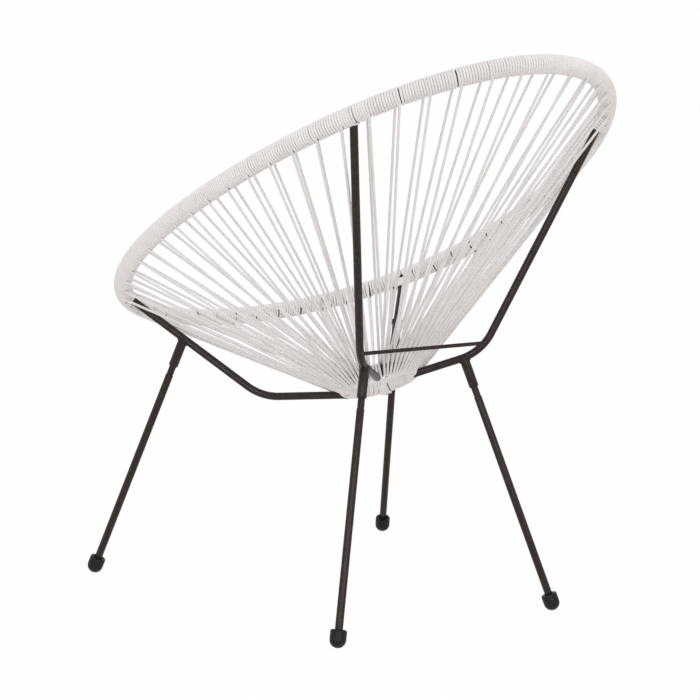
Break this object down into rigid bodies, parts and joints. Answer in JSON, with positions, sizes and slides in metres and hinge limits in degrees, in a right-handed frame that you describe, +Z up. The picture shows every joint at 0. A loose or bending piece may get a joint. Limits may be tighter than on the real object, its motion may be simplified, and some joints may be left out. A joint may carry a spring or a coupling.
{
  "type": "acapulco chair",
  "caption": "Garden lounge chair: a leaning egg-shaped tube rim strung with white cord down to a small base ring, on bent rods and splayed screw-on legs with rubber feet.",
  "frame": {"origin": "on the floor, under the middle of the chair's overall box, midway between the rim's front and its back", "axes": "+Z up, the sitter faces -Y, and the sitter's left is +X"},
  "size_m": [0.7353, 0.7926, 0.8735],
  "materials": {
    "steel_frame": "dark brown-black satin powder coat",
    "zinc_stud": "zinc-plated steel",
    "foot_rubber": "matt black moulded rubber",
    "white_cord": "smooth white plastic cord, satin"
  },
  "bodies": {
    "root": {"rim_tube": "steel_frame", "base_ring": "steel_frame", "rear_brace": "steel_frame", "rear_left_rod": "steel_frame", "rear_left_leg_socket": "steel_frame", "rear_left_leg_stud": "zinc_stud", "rear_left_leg": "steel_frame", "rear_left_foot_cap": "foot_rubber", "rear_right_rod": "steel_frame", "rear_right_leg_socket": "steel_frame", "rear_right_leg_stud": "zinc_stud", "rear_right_leg": "steel_frame", "rear_right_foot_cap": "foot_rubber", "front_left_rod": "steel_frame", "front_left_leg_socket": "steel_frame", "front_left_leg_stud": "zinc_stud", "front_left_leg": "steel_frame", "front_left_foot_cap": "foot_rubber", "front_right_rod": "steel_frame", "front_right_leg_socket": "steel_frame", "front_right_leg_stud": "zinc_stud", "front_right_leg": "steel_frame", "front_right_foot_cap": "foot_rubber", "cord_rear_1": "white_cord", "cord_rear_2": "white_cord", "cord_rear_3": "white_cord", "cord_left_1": "white_cord", "cord_left_2": "white_cord", "cord_left_3": "white_cord", "cord_left_4": "white_cord", "cord_front_1": "white_cord", "cord_front_2": "white_cord", "cord_front_3": "white_cord", "cord_right_1": "white_cord", "cord_right_2": "white_cord", "cord_right_3": "white_cord", "cord_right_4": "white_cord"}
  },
  "joints": []
}
